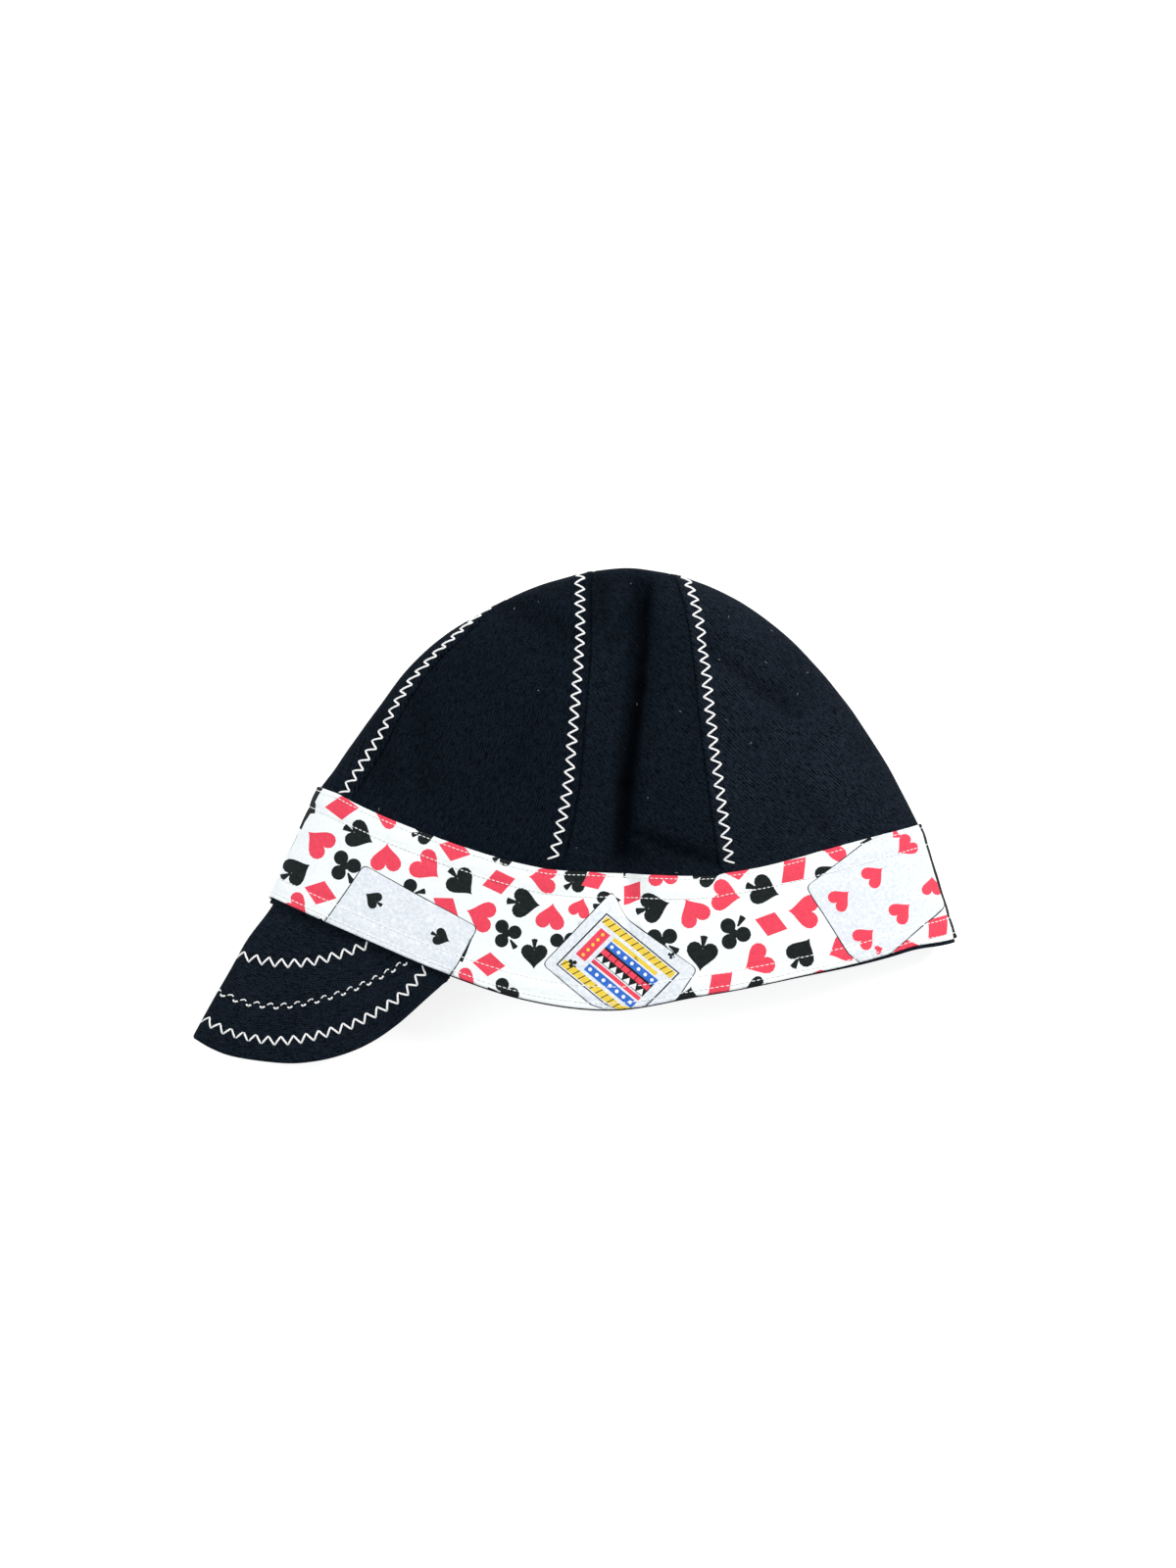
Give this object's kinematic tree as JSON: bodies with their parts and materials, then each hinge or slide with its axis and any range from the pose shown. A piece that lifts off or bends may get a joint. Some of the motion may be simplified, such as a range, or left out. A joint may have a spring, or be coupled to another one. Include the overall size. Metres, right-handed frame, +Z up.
{
  "type": "welding cap",
  "caption": "Soft cotton welding cap lying on its side: gored crown, printed band round the lower part, short soft bill folded in half along its centre.",
  "frame": {"origin": "on the surface that the cap lies on, below the middle of its box", "axes": "+Z up from the surface, +X from the folded bill towards the back of the cap, +Y from the rim towards the top of the crown"},
  "size_m": [0.3038, 0.1956, 0.0449],
  "materials": {
    "crown_twill": "matt twill cotton",
    "printed_cotton": "matt plain-weave cotton with a printed pattern",
    "bill_twill": "matt twill cotton"
  },
  "bodies": {
    "root": {"crown_panel_left_front": "crown_twill", "crown_panel_left_middle": "crown_twill", "crown_panel_left_back": "crown_twill", "crown_panel_right_back": "crown_twill", "crown_panel_right_middle": "crown_twill", "crown_panel_front": "crown_twill", "band": "printed_cotton", "bill": "bill_twill"}
  },
  "joints": []
}
